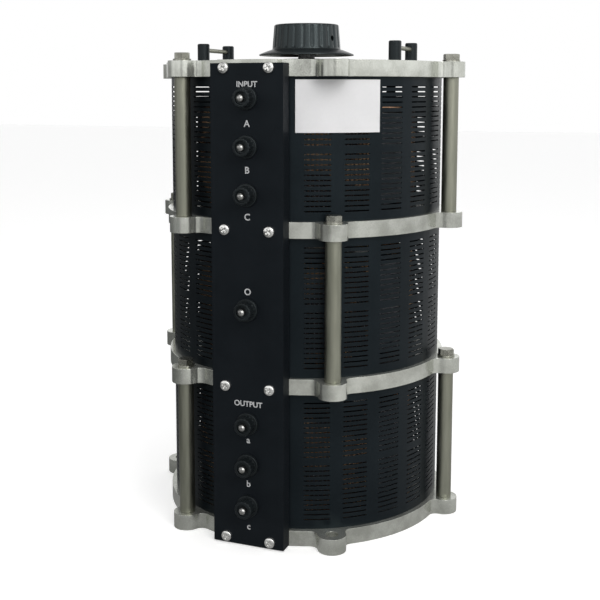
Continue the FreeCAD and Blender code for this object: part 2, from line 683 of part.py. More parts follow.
finger = box("stop_finger_bar", "peg_circle_radius + peg_radius", "stop_finger_width", "stop_finger_height",
             x="(peg_circle_radius + peg_radius) / 2")
collar = cut("collar", fuse("collar_blank", cylinder("collar_ring", "collar_radius", "collar_height"), finger),
             cylinder("collar_bore", SHAFT_BORE, "collar_height"))
keep(place(collar, z="casting_height + hub_rise", turn="brush_angle - 90"), "stop_collar")


def brush_gear(index, tier):
    """A ribbed radiator arm clamped on the shaft, with a carbon brush sprung against the coil's track."""
    z = floor(index)
    turn = "brush_angle - 90"
    arm = body(tier + "_brush_arm")
    disc = sketch(arm, "XY_Plane", tier + "_arm_disc_outline")
    circle(disc, "arm_disc_radius")
    pad(arm, disc, tier + "_arm_disc", "arm_thickness")
    bar = sketch(arm, "XY_Plane", tier + "_arm_bar_outline")
    bar_end = "brush_circle_radius + brush_length / 2 + holder_wall + arm_bar_end"
    rectangle(bar, ("0", "-arm_bar_width / 2"), (bar_end, "arm_bar_width / 2"))
    pad(arm, bar, tier + "_arm_bar", "arm_thickness")
    rib = sketch(arm, "XY_Plane", tier + "_arm_rib_outline")
    rectangle(rib, ("arm_hub_radius / 2", "-rib_width / 2"), ("arm_disc_radius - 1", "rib_width / 2"))
    rib_pad = pad(arm, rib, tier + "_arm_rib", "arm_thickness + rib_height")
    pattern(arm, rib_pad, tier + "_arm_ribs", ARM_RIBS)
    hub = sketch(arm, "XY_Plane", tier + "_arm_hub_outline")
    circle(hub, "arm_hub_radius")
    pad(arm, hub, tier + "_arm_hub", "arm_hub_length")
    bore = sketch(arm, "XY_Plane", tier + "_arm_bore_outline")
    circle(bore, SHAFT_BORE)
    pocket(arm, bore, tier + "_arm_bore")
    slot = sketch(arm, "XY_Plane", tier + "_arm_slot_outline")
    half_length, half_width = "(brush_length / 2 + free_clearance)", "(brush_width / 2 + free_clearance)"
    rectangle(slot, ("brush_circle_radius - " + half_length, "-" + half_width),
              ("brush_circle_radius + " + half_length, half_width))
    pocket(arm, slot, tier + "_arm_slot")
    keep(place(arm, z="%s + %s" % (z, ARM_FLOOR), turn=turn), tier + "_brush_arm")

    x, y = around("brush_circle_radius", "brush_angle")
    cavity = "(holder_height - holder_wall)"
    block = box(tier + "_holder_block", "brush_length + 2 * free_clearance + 2 * holder_wall",
                "brush_width + 2 * free_clearance + 2 * holder_wall", "holder_height")
    room = box(tier + "_holder_room", "brush_length + 2 * free_clearance", "brush_width + 2 * free_clearance", cavity)
    holder = cut(tier + "_brush_holder", block, room)
    keep(place(holder, x, y, "%s + %s" % (z, ARM_TOP), turn), tier + "_brush_holder")

    carbon = body(tier + "_brush")
    section = sketch(carbon, "XY_Plane", tier + "_brush_outline")
    rectangle(section, ("-brush_length / 2", "-brush_width / 2"), ("brush_length / 2", "brush_width / 2"))
    pad(carbon, section, tier + "_brush_block", "brush_height")
    keep(place(carbon, x, y, "%s + %s + brush_air" % (z, COIL_TOP), turn), tier + "_brush")

    ring = tube(tier + "_slip_ring", "arm_hub_radius + ring_wall", "arm_hub_radius + seat_clearance", "ring_height",
                z="%s + %s" % (z, RING_FLOOR))
    keep(ring, tier + "_slip_ring")


RING_FLOOR = "(%s + arm_hub_length - ring_drop - ring_height)" % ARM_FLOOR
BRUSH_TOP = "(%s + brush_air + brush_height)" % COIL_TOP
for index, tier in enumerate(TIERS):
    brush_gear(index, tier)
spring = tube("brush_spring", "spring_radius", "spring_radius - spring_wall",
              "%s + holder_height - holder_wall - %s" % (ARM_TOP, BRUSH_TOP))
x, y = around("brush_circle_radius", "brush_angle")
copies("brush_springs", spring, [dict(x=x, y=y, z="%s + %s" % (floor(k), BRUSH_TOP)) for k in range(len(TIERS))])

leg = doc.addObject("Part::Compound", "contact_leg")
leg.Links = [box("contact_leg_bar", "finger_thickness", "finger_width", "%s - %s" % (CLEAR_HEIGHT, RING_FLOOR),
                 x="arm_hub_radius + ring_wall + free_clearance + finger_thickness / 2")]
copies("contact_fingers", leg, [dict(z="%s + %s" % (floor(k), RING_FLOOR), turn="finger_angle - 90")
                                for k in range(len(TIERS))])


# ---------------------------------------------------------------- knob

def knob():
    """A fluted knob on a flared skirt, held on the shaft by a set screw in its side."""
    blank = turned("knob_blank", [
        (SHAFT_BORE, "0"), ("skirt_radius", "0"), ("skirt_radius", "skirt_edge"), ("knob_radius", "skirt_rise"),
        ("knob_radius - knob_taper", "knob_height - knob_top_edge"),
        ("knob_radius - knob_taper - knob_top_edge", "knob_height"), ("0", "knob_height"),
        ("0", "knob_bore_depth"), (SHAFT_BORE, "knob_bore_depth")])
    flute = sketch(blank, "XY_Plane", "knob_flute_outline")
    circle(flute, "flute_radius", "knob_radius + flute_radius - flute_depth", "0")
    flute_cut = pocket(blank, flute, "knob_flute", "knob_height", start="skirt_rise")
    pattern(blank, flute_cut, "knob_flutes", KNOB_FLUTES)
    hole = cylinder("knob_hole_tool", "knob_screw_radius + seat_clearance", "knob_radius + 2")
    across(hole, "0", "0", "knob_bore_depth / 2")
    keep(place(cut("knob", blank, hole), z=KNOB_FLOOR), "knob")
    screw = cylinder("knob_screw", "knob_screw_radius", "knob_screw_length")
    keep(across(screw, *around("shaft_radius", "knob_screw_angle"), KNOB_FLOOR + " + knob_bore_depth / 2"),
         "knob_screw")


def across(thing, x, y, z):
    """Lays an upright cylinder down so that it points outwards at the set screw's angle."""
    bearing = Rotation(Vector(0, 0, 1), number("knob_screw_angle - 90"))
    thing.Placement = Placement(Vector(number(x), number(y), number(z)), bearing * Rotation(Vector(0, 1, 0), 90))
    bind(thing, "Placement.Base.x", x)
    bind(thing, "Placement.Base.y", y)
    bind(thing, "Placement.Base.z", z)
    return thing


knob()


# ---------------------------------------------------------------- check and write

doc.recompute()
failed = [thing.Label for thing in doc.Objects if {"Invalid", "Error"} & set(thing.State)]
for part in subparts:
    if part.Shape.isNull() or not part.Shape.isValid() or not part.Shape.Solids:
        failed.append(part.Label)
if failed:
    raise RuntimeError("these objects failed: " + ", ".join(failed))

os.makedirs("parts", exist_ok=True)
for part in subparts:
    part.Shape.exportStep("parts/%s.step" % part.Label)
    print("%-22s %2d solid(s) %12.1f mm3" % (part.Label, len(part.Shape.Solids), part.Shape.Volume))
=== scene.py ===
import bmesh
import bpy
import json
import math
from mathutils import Matrix, Vector

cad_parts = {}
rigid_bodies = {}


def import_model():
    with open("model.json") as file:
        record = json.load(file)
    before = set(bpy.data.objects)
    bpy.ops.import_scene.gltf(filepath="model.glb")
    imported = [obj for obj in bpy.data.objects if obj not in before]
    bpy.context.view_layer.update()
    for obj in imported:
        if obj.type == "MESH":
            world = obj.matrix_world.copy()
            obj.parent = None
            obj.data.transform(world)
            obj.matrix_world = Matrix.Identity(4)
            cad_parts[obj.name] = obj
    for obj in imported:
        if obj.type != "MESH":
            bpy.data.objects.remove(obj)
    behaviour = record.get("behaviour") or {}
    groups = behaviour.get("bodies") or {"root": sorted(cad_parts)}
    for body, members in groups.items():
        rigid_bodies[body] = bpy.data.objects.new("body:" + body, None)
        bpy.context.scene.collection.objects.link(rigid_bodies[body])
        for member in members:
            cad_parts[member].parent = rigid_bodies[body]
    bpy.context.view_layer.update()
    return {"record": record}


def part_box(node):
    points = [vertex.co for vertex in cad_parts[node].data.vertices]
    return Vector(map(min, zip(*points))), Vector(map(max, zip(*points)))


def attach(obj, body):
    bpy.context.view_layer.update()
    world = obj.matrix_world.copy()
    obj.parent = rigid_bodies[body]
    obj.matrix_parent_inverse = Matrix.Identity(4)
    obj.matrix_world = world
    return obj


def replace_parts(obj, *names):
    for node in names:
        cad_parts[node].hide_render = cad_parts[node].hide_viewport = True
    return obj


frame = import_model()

# An angle round the stack is counted in degrees from -Y towards +X; lengths are in metres.
tiers = ("lower", "middle", "upper")
tierFloor = {tier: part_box(tier + "_cover")[0][2] for tier in tiers}
tierRoof = {tier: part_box(tier + "_cover")[1][2] for tier in tiers}
forward = Matrix.Rotation(math.radians(90), 4, "X")  # turns +Z to -Y


def polar(radius, angle, height):
    a = math.radians(angle)
    return Vector((radius * math.sin(a), -radius * math.cos(a), height))


class Nodes:
    # a node tree whose nodes are made with their settings and inputs in one call
    def __init__(self, tree):
        self.tree = tree

    def add(self, kind, **values):
        # a key is a setting of the node, an input's name, or in0, in1 and so on for an input's number
        node = self.tree.nodes.new(kind)
        for key, value in values.items():
            if hasattr(node, key) and not key.startswith("in"):
                setattr(node, key, value)
                continue
            socket = node.inputs[int(key[2:]) if key.startswith("in") else key]
            if isinstance(value, bpy.types.NodeSocket):
                self.join(value, socket)
            else:
                socket.default_value = value
        return node

    def join(self, output, target):
        self.tree.links.new(output, target)


class Shader(Nodes):
    # a material's nodes round its Principled BSDF
    socketNames = {"color": "Base Color", "metallic": "Metallic", "roughness": "Roughness",
                   "specular": "Specular IOR Level", "tint": "Specular Tint", "normal": "Normal"}

    def __init__(self, name):
        self.material = bpy.data.materials.new(name)
        self.material.use_nodes = True
        super().__init__(self.material.node_tree)
        self.principled = self.tree.nodes["Principled BSDF"]

    def set(self, **values):
        for key, value in values.items():
            socket = self.principled.inputs[self.socketNames[key]]
            if isinstance(value, bpy.types.NodeSocket):
                self.join(value, socket)
            elif key in ("color", "tint"):
                socket.default_value = (*value, 1)
            else:
                socket.default_value = value


def newGroup(name, inputs, outputs):
    # an effect that materials share: its inputs are numbers with usual values, its outputs have a kind each
    group = bpy.data.node_groups.new(name, "ShaderNodeTree")
    for label, value in inputs.items():
        socket = group.interface.new_socket(label, in_out="INPUT", socket_type="NodeSocketFloat")
        socket.default_value = value
    for label, kind in outputs.items():
        group.interface.new_socket(label, in_out="OUTPUT", socket_type=kind)
    return Nodes(group), group.nodes.new("NodeGroupInput"), group.nodes.new("NodeGroupOutput")


mottleShape = dict(broadDetail=3, fineness=14.0, fineDetail=4)


def makeMottle():
    # slow and fine unevenness of a surface, as two masks about 0.5
    nodes, given, out = newGroup("mottle", dict(Scale=60.0, Stretch=1.0),
                                 dict(Broad="NodeSocketFloat", Fine="NodeSocketFloat"))
    place = nodes.add("ShaderNodeTexCoord").outputs["Object"]
    squeeze = nodes.add("ShaderNodeCombineXYZ", in0=1.0, in1=1.0, in2=given.outputs["Stretch"])
    stretched = nodes.add("ShaderNodeVectorMath", operation="MULTIPLY", in0=place, in1=squeeze.outputs[0])
    broad = nodes.add("ShaderNodeTexNoise", in0=stretched.outputs[0], Scale=given.outputs["Scale"],
                      Detail=mottleShape["broadDetail"])
    finer = nodes.add("ShaderNodeMath", operation="MULTIPLY", in0=given.outputs["Scale"],
                      in1=mottleShape["fineness"])
    fine = nodes.add("ShaderNodeTexNoise", in0=stretched.outputs[0], Scale=finer.outputs[0],
                     Detail=mottleShape["fineDetail"])
    nodes.join(broad.outputs["Fac"], out.inputs["Broad"])
    nodes.join(fine.outputs["Fac"], out.inputs["Fine"])
    return nodes.tree


wearShape = dict(samples=4, straight=0.98, bent=0.8)


def makeEdgeWear():
    # a mask that is high on worn edges, and a normal that softens the edges
    nodes, given, out = newGroup("edgeWear", dict(Radius=0.0006, Amount=1.0, Patches=0.5),
                                 dict(Mask="NodeSocketFloat", Normal="NodeSocketVector"))
    bevel = nodes.add("ShaderNodeBevel", samples=wearShape["samples"], Radius=given.outputs["Radius"])
    surface = nodes.add("ShaderNodeNewGeometry")
    turn = nodes.add("ShaderNodeVectorMath", operation="DOT_PRODUCT", in0=bevel.outputs[0],
                     in1=surface.outputs["Normal"])
    bend = nodes.add("ShaderNodeMapRange", in0=turn.outputs["Value"], in1=wearShape["straight"],
                     in2=wearShape["bent"])
    patch = nodes.add("ShaderNodeMath", operation="MULTIPLY", in0=bend.outputs[0],
                      in1=given.outputs["Patches"])
    scaled = nodes.add("ShaderNodeMath", operation="MULTIPLY", use_clamp=True, in0=patch.outputs[0],
                       in1=given.outputs["Amount"])
    nodes.join(scaled.outputs[0], out.inputs["Mask"])
    nodes.join(bevel.outputs[0], out.inputs["Normal"])
    return nodes.tree


mottleGroup = makeMottle()
edgeWearGroup = makeEdgeWear()


def ramp(nodes, factor, low, high, start=0.0, end=1.0):
    # a colour between two, as the factor goes from start to end
    node = nodes.add("ShaderNodeValToRGB", in0=factor)
    first, last = node.color_ramp.elements
    first.position, first.color = start, (*low, 1)
    last.position, last.color = end, (*high, 1)
    return node.outputs["Color"]


def spread(nodes, factor, low, high, start=0.0, end=1.0):
    # a number between two, as the factor goes from start to end
    return nodes.add("ShaderNodeMapRange", in0=factor, in1=start, in2=end, in3=low, in4=high).outputs[0]


mixSockets = {"FLOAT": (2, 3, 0), "RGBA": (6, 7, 2)}  # where a Mix node has its two inputs and its result


def blend(nodes, kind, factor, below, above):
    # the value below where the factor is 0, and the one above where it is 1
    first, second, result = mixSockets[kind]
    node = nodes.add("ShaderNodeMix", data_type=kind, in0=factor)
    for socket, value in ((node.inputs[first], below), (node.inputs[second], above)):
        if isinstance(value, bpy.types.NodeSocket):
            nodes.join(value, socket)
        else:
            socket.default_value = (*value, 1)
    return node.outputs[result]


def bump(nodes, height, strength, distance, normal=None):
    node = nodes.add("ShaderNodeBump", Strength=strength, Distance=distance, Height=height)
    if normal is not None:
        nodes.join(normal, node.inputs["Normal"])
    return node.outputs["Normal"]


# what a look has unless it says otherwise; the ends are where a mask counts as 0 and as 1
usualLook = dict(stretch=1.0, edge=0.0005, grain=0.25, specular=0.5, tint=(1.0, 1.0, 1.0),
                 toneEnds=(0.38, 0.62), glossEnds=(0.3, 0.7))


def plainFinish(name, ownLook):
    # metal, paint or moulding: colour and roughness wander, edges are rubbed brighter
    look = usualLook | ownLook
    shader = Shader(name)
    mottle = shader.add("ShaderNodeGroup", node_tree=mottleGroup, Scale=look["scale"],
                        Stretch=look["stretch"])
    broad, fine = mottle.outputs["Broad"], mottle.outputs["Fine"]
    wear = shader.add("ShaderNodeGroup", node_tree=edgeWearGroup, Radius=look["edge"], Amount=look["wear"],
                      Patches=broad)
    tone = blend(shader, "FLOAT", look["grain"], broad, fine)
    base = ramp(shader, tone, look["dark"], look["light"], *look["toneEnds"])
    shader.set(color=blend(shader, "RGBA", wear.outputs["Mask"], base, look["edgeColor"]),
               roughness=spread(shader, fine, look["smooth"], look["rough"], *look["glossEnds"]),
               normal=bump(shader, fine, look["bumpStrength"], look["bump"], wear.outputs["Normal"]),
               metallic=look["metallic"], specular=look["specular"], tint=look["tint"])
    return shader.material


castLook = dict(dark=(0.47, 0.482, 0.438), light=(0.67, 0.687, 0.635), edgeColor=(0.80, 0.805, 0.78),
                scale=55, smooth=0.18, rough=0.25, bump=0.0002, bumpStrength=0.006, metallic=0.78, wear=0.3,
                edge=0.0004)
postLook = dict(dark=(0.25, 0.255, 0.205), light=(0.34, 0.345, 0.285), edgeColor=(0.6, 0.6, 0.53),
                scale=26, stretch=0.12, smooth=0.36, rough=0.50, bump=0.0002, bumpStrength=0.15, metallic=1.0,
                wear=0.5)
boltLook = dict(dark=(0.24, 0.24, 0.205), light=(0.44, 0.44, 0.39), edgeColor=(0.7, 0.7, 0.64),
                scale=90, smooth=0.2, rough=0.36, bump=0.0002, bumpStrength=0.2, metallic=1.0, wear=0.8,
                edge=0.0004)
nickelLook = dict(dark=(0.66, 0.66, 0.64), light=(0.86, 0.86, 0.84), edgeColor=(0.95, 0.95, 0.93),
                  scale=120, smooth=0.16, rough=0.3, bump=0.0001, bumpStrength=0.15, metallic=1.0, wear=0.5,
                  edge=0.0003)
studLook = dict(dark=(0.30, 0.30, 0.29), light=(0.48, 0.48, 0.47), edgeColor=(0.8, 0.8, 0.78),
                scale=300, smooth=0.2, rough=0.34, bump=0.0001, bumpStrength=0.3, metallic=1.0, wear=0.8,
                edge=0.0002)
steelLook = dict(dark=(0.075, 0.078, 0.078), light=(0.14, 0.145, 0.145), edgeColor=(0.3, 0.3, 0.3),
                 scale=60, stretch=6.0, smooth=0.24, rough=0.4, bump=0.0001, bumpStrength=0.2, metallic=1.0,
                 wear=0.5)
brassLook = dict(dark=(0.42, 0.27, 0.10), light=(0.60, 0.42, 0.19), edgeColor=(0.75, 0.58, 0.3),
                 scale=80, smooth=0.24, rough=0.4, bump=0.0001, bumpStrength=0.2, metallic=1.0, wear=0.6)
armLook = dict(dark=(0.34, 0.34, 0.33), light=(0.50, 0.50, 0.49), edgeColor=(0.68, 0.68, 0.66),
               scale=70, smooth=0.36, rough=0.55, bump=0.0004, bumpStrength=0.3, metallic=1.0, wear=0.6)
enamelLook = dict(dark=(0.0044, 0.0064, 0.0084), light=(0.0068, 0.0096, 0.0122),
                  edgeColor=(0.02, 0.023, 0.026), scale=30, smooth=0.30, rough=0.42, bump=0.0003,
                  bumpStrength=0.1, metallic=0.0, wear=0.3, edge=0.0004, specular=0.18,
                  tint=(0.72, 0.92, 1.0))
panelLook = dict(dark=(0.0042, 0.0056, 0.0076), light=(0.0060, 0.0078, 0.0102),
                 edgeColor=(0.02, 0.023, 0.026), scale=45, smooth=0.42, rough=0.55, bump=0.0003,
                 bumpStrength=0.15, metallic=0.0, wear=0.4, specular=0.16, tint=(0.78, 0.92, 1.0))
mouldingLook = dict(dark=(0.0070, 0.0090, 0.0100), light=(0.0110, 0.0140, 0.0155),
                    edgeColor=(0.05, 0.055, 0.058), scale=50, smooth=0.28, rough=0.42, bump=0.0002,
                    bumpStrength=0.2, metallic=0.0, wear=0.5, edge=0.0004, specular=0.25,
                    tint=(0.85, 0.95, 1.0))
knobLook = dict(dark=(0.0070, 0.0090, 0.0100), light=(0.0110, 0.0142, 0.0155), edgeColor=(0.05, 0.055, 0.058),
                scale=60, smooth=0.26, rough=0.36, bump=0.0002, bumpStrength=0.2, metallic=0.0, wear=0.5,
                edge=0.0004, specular=0.45, tint=(0.82, 0.97, 1.0))
phenolicLook = dict(dark=(0.05, 0.022, 0.012), light=(0.09, 0.042, 0.022), edgeColor=(0.16, 0.09, 0.05),
                    scale=80, smooth=0.4, rough=0.55, bump=0.0003, bumpStrength=0.3, metallic=0.0, wear=0.4)
carbonLook = dict(dark=(0.02, 0.02, 0.021), light=(0.045, 0.045, 0.047), edgeColor=(0.1, 0.1, 0.1),
                  scale=120, smooth=0.5, rough=0.7, bump=0.0003, bumpStrength=0.3, metallic=0.0, wear=0.3)
coreLook = dict(dark=(0.25, 0.25, 0.27), light=(0.42, 0.42, 0.44), edgeColor=(0.6, 0.6, 0.62),
                scale=200, smooth=0.3, rough=0.5, bump=0.0003, bumpStrength=0.4, metallic=1.0, wear=0.3)
plateLook = dict(dark=(0.80, 0.80, 0.815), light=(0.84, 0.84, 0.855), edgeColor=(0.86, 0.86, 0.87),
                 scale=25, smooth=0.42, rough=0.52, bump=0.0002, bumpStrength=0.1, metallic=0.0, wear=0.2,
                 edge=0.0003, specular=0.3)
printLook = dict(dark=(0.50, 0.51, 0.52), light=(0.62, 0.63, 0.64), edgeColor=(0.62, 0.63, 0.64),
                 scale=400, smooth=0.5, rough=0.6, bump=0.0001, bumpStrength=0.1, metallic=0.0, wear=0.0,
                 edge=0.0002)

finishes = {
    "casting": plainFinish("castAluminium", castLook),
    "zinc_steel": plainFinish("zincPlate", postLook),
    "bright_steel": plainFinish("brightNickel", nickelLook),
    "steel": plainFinish("groundSteel", steelLook),
    "cover_paint": plainFinish("blackEnamel", enamelLook),
    "plate_paint": plainFinish("whitePlate", plateLook),
    "phenolic": plainFinish("brownPhenolic", phenolicLook),
    "black_plastic": plainFinish("blackMoulding", mouldingLook),
    "core_steel": plainFinish("stripCore", coreLook),
    "brass": plainFinish("turnedBrass", brassLook),
    "carbon": plainFinish("carbonBrush", carbonLook),
    "arm_metal": plainFinish("dieCastArm", armLook),
    "print": plainFinish("whitePrint", printLook),
    "stud": plainFinish("studSteel", studLook),
    "bolt": plainFinish("platedBolt", boltLook),
    "panel": plainFinish("panelPaint", panelLook),
    "knob": plainFinish("knobMoulding", knobLook),
}

# the wire's colours: very dark over most of it, copper-coloured in random patches that are painted light, and
# bright copper on the brush track
copperLook = dict(scale=70.0, trackInner=0.072, trackOuter=0.092, trackBlur=0.001, topFace=(0.3, 0.7),
                  patchScale=26.0, patchDetail=1.0, patchFrom=0.51, patchWidth=0.06, toneEnds=(0.35, 0.65),
                  dimWireDark=(0.035, 0.015, 0.009), dimWireLight=(0.075, 0.032, 0.017),
                  enamelDark=(0.55, 0.30, 0.15), enamelLight=(0.85, 0.58, 0.36),
                  bareDark=(0.80, 0.42, 0.22), bareLight=(0.93, 0.56, 0.34),
                  metallic=0.5, smooth=0.22, rough=0.36, glossEnds=(0.3, 0.7), bump=0.0002, bumpStrength=0.15)


def makeCopper(look):
    # enamelled wire, very dark over most of it, with random copper-coloured patches of painted light that stand
    # in for glimpses lit through the cover's slots, and scraped bright where the brush runs on the top face
    shader = Shader("copperWinding")
    mottle = shader.add("ShaderNodeGroup", node_tree=mottleGroup, Scale=look["scale"], Stretch=1.0)
    broad, fine = mottle.outputs["Broad"], mottle.outputs["Fine"]
    place = shader.add("ShaderNodeTexCoord").outputs["Object"]
    parts = shader.add("ShaderNodeSeparateXYZ", in0=place)
    flat = shader.add("ShaderNodeCombineXYZ", in0=parts.outputs[0], in1=parts.outputs[1], in2=0.0)
    radius = shader.add("ShaderNodeVectorMath", operation="LENGTH", in0=flat.outputs[0]).outputs["Value"]
    face = shader.add("ShaderNodeNewGeometry")
    up = shader.add("ShaderNodeSeparateXYZ", in0=face.outputs["Normal"]).outputs[2]
    inner, outer, blur = look["trackInner"], look["trackOuter"], look["trackBlur"]
    ring = shader.add("ShaderNodeMath", operation="MULTIPLY",
                      in0=spread(shader, radius, 0.0, 1.0, inner - blur, inner + blur),
                      in1=spread(shader, radius, 1.0, 0.0, outer - blur, outer + blur))
    bare = shader.add("ShaderNodeMath", operation="MULTIPLY", in0=ring.outputs[0],
                      in1=spread(shader, up, 0.0, 1.0, *look["topFace"]))
    patches = shader.add("ShaderNodeTexNoise", in0=place, Scale=look["patchScale"],
                         Detail=look["patchDetail"])
    patchEnd = look["patchFrom"] + look["patchWidth"]
    # painted light: random patches where the wire shows copper-coloured, as if lit through the slots
    paintedLitMask = spread(shader, patches.outputs[0], 0.0, 1.0, look["patchFrom"], patchEnd)
    dimWire = ramp(shader, broad, look["dimWireDark"], look["dimWireLight"], *look["toneEnds"])
    paintedLit = ramp(shader, broad, look["enamelDark"], look["enamelLight"], *look["toneEnds"])
    enamel = blend(shader, "RGBA", paintedLitMask, dimWire, paintedLit)
    bright = ramp(shader, fine, look["bareDark"], look["bareLight"], *look["toneEnds"])
    shader.set(color=blend(shader, "RGBA", bare.outputs[0], enamel, bright), metallic=look["metallic"],
               roughness=spread(shader, fine, look["smooth"], look["rough"], *look["glossEnds"]),
               normal=bump(shader, fine, look["bumpStrength"], look["bump"]))
    return shader.material


finishes["copper"] = makeCopper(copperLook)
print("finishes made:", len(finishes))


def shadeBy(mesh, angle):
    mesh.shade_smooth()
    mesh.set_sharp_from_angle(angle=math.radians(angle))


def give(obj, finish):
    obj.data.materials.clear()
    obj.data.materials.append(finishes[finish])


def settle(name, mesh, body, finish, smooth=35):
    # one finished piece, shaded smooth below the angle and riding on its body
    obj = bpy.data.objects.new(name, mesh)
    bpy.context.scene.collection.objects.link(obj)
    shadeBy(mesh, smooth)
    give(obj, finish)
    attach(obj, body)
    return obj


def settled(obj, angle):
    # puts the modifiers' result into the mesh, so its sharp edges are found on the final shape
    shaped = bpy.data.meshes.new_from_object(obj.evaluated_get(bpy.context.evaluated_depsgraph_get()))
    obj.modifiers.clear()
    obj.data = shaped
    shadeBy(shaped, angle)


seamGap = 1e-7


def sew(bm):
    # joins the seams and turns the faces outward
    bmesh.ops.remove_doubles(bm, verts=bm.verts, dist=seamGap)
    bmesh.ops.recalc_face_normals(bm, faces=bm.faces)
    return bm


def fromParts(bm):
    mesh = bpy.data.meshes.new("piece")
    bm.to_mesh(mesh)
    bm.free()
    return mesh


def lathe(bm, profile, steps, matrix, radiusAt=None):
    # turns a closed outline of (radius, height) round +Z
    rings = []
    for k in range(steps):
        a = 2 * math.pi * k / steps
        ring = []
        for r, z in profile:
            reach = r if radiusAt is None else radiusAt(r, z, a)
            ring.append(bm.verts.new(matrix @ Vector((reach * math.cos(a), reach * math.sin(a), z))))
        rings.append(ring)
    for k, near in enumerate(rings):
        far = rings[(k + 1) % steps]
        for j in range(len(profile)):
            following = (j + 1) % len(profile)
            bm.faces.new((near[j], far[j], far[following], near[following]))


sideShare = 0.45  # the most of a side that a rounded corner takes


def rounded(corners, steps):
    # an outline of (across, up, radius) corners, each rounded off by its radius
    out = []
    spots = [Vector(corner[:2]) for corner in corners]
    for i, spot in enumerate(spots):
        radius = corners[i][2]
        if radius <= 0:
            out.append(tuple(spot))
            continue
        first, second = spots[i - 1] - spot, spots[(i + 1) % len(spots)] - spot
        reach = min(radius, first.length * sideShare, second.length * sideShare)
        start, end = spot + first.normalized() * reach, spot + second.normalized() * reach
        for k in range(steps + 1):
            t = k / steps
            out.append(tuple(start * (1 - t) ** 2 + spot * 2 * t * (1 - t) + end * t ** 2))
    return out


cadCopy = dict(smooth=30, merge=1e-6, flatAngle=1.0, sharpAngle=28, steps=2, profile=0.5, flatWeight=80)


def softened(node, body, finish, edge):
    # the node's own shape with its sharp edges broken
    mesh = bpy.data.objects[node].data.copy()
    bm = bmesh.new()
    bm.from_mesh(mesh)
    bmesh.ops.remove_doubles(bm, verts=bm.verts, dist=cadCopy["merge"])
    flat, limit = math.radians(cadCopy["flatAngle"]), math.radians(cadCopy["sharpAngle"])
    bmesh.ops.dissolve_limit(bm, angle_limit=flat, verts=bm.verts, edges=bm.edges)
    sharp = [e for e in bm.edges if len(e.link_faces) == 2 and e.calc_face_angle() > limit]
    bmesh.ops.bevel(bm, geom=sharp, offset=edge, segments=cadCopy["steps"], profile=cadCopy["profile"],
                    affect="EDGES", clamp_overlap=True)
    bm.to_mesh(mesh)
    bm.free()
    obj = settle(node + "Piece", mesh, body, finish)
    flatter = obj.modifiers.new("flatter", "WEIGHTED_NORMAL")  # keeps broad faces flat beside broken edges
    flatter.keep_sharp, flatter.weight = True, cadCopy["flatWeight"]
    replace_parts(obj, node)


# every solid gets its finish first, for those that keep their own shape
for item in frame["record"]["subparts"]:
    cadMesh = bpy.data.objects[item["node"]].data
    cadMesh.materials.clear()
    cadMesh.materials.append(finishes[item["material_slot"]])
    shadeBy(cadMesh, cadCopy["smooth"])


coverShape = dict(radius=0.128, wall=0.001, endAngle=13.5, firstColumn=25.0, columns=21, slotAngle=10.4,
                  slotHeight=0.0012, rowPitch=0.0044, rows=12, topMargin=0.0085, bottomMargin=0.0085)


def slottedSleeve(tier):
    # a rolled sheet with two groups of rows of slots, pointed at their ends
    shape = coverShape
    low, high = tierFloor[tier], tierRoof[tier]
    rows = [low + shape["bottomMargin"] + k * shape["rowPitch"] for k in range(shape["rows"])]
    rows += [high - shape["topMargin"] - k * shape["rowPitch"] for k in range(shape["rows"])]
    pitch = (360 - 2 * shape["firstColumn"]) / (shape["columns"] - 1)
    half, halfHeight = shape["slotAngle"] / 2, shape["slotHeight"] / 2
    point = math.degrees(halfHeight / shape["radius"])
    marks = [shape["endAngle"]]
    for column in range(shape["columns"]):
        c = shape["firstColumn"] + column * pitch
        marks += [c - half, c - half + point, c, c + half - point, c + half]
    marks.append(360 - shape["endAngle"])
    levels = [low]
    for z in sorted(rows):
        levels += [z - halfHeight, z, z + halfHeight]
    levels.append(high)
    bm = bmesh.new()
    grid = [[bm.verts.new(polar(shape["radius"], a, z)) for z in levels] for a in marks]
    for i in range(len(marks) - 1):
        inColumn = (i - 1) % 5  # 0 to 3 across a slot, 4 beside it
        for j in range(len(levels) - 1):
            inRow = (j - 1) % 3  # 0 and 1 up a slot, 2 above it
            a, b, c, d = grid[i][j], grid[i + 1][j], grid[i + 1][j + 1], grid[i][j + 1]
            if inColumn == 4 or inRow == 2:
                bm.faces.new((a, b, c, d))
            elif inColumn == 0:
                bm.faces.new((a, b, d) if inRow == 0 else (a, c, d))
            elif inColumn == 3:
                bm.faces.new((a, b, c) if inRow == 0 else (b, c, d))
    mesh = fromParts(sew(bm))
    obj = settle(tier + "Sleeve", mesh, "frame", "cover_paint", smooth=40)
    wall = obj.modifiers.new("wall", "SOLIDIFY")
    wall.thickness = shape["wall"]
    wall.offset = -1 if facesOutward(mesh) else 1
    settled(obj, 40)
    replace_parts(obj, tier + "_cover")


def facesOutward(mesh):
    face = mesh.polygons[0]
    return face.normal.dot(Vector((face.center.x, face.center.y, 0))) > 0


for tier in tiers:
    slottedSleeve(tier)
print("covers made")


windingShape = dict(inner=0.046, outer=0.104, height=0.092, seat=0.003, wire=0.0031, wireSides=6, fill=0.96,
                    turns=150, gapAngle=30.0, gapCentre=75.0, corner=0.006, cornerSteps=4)


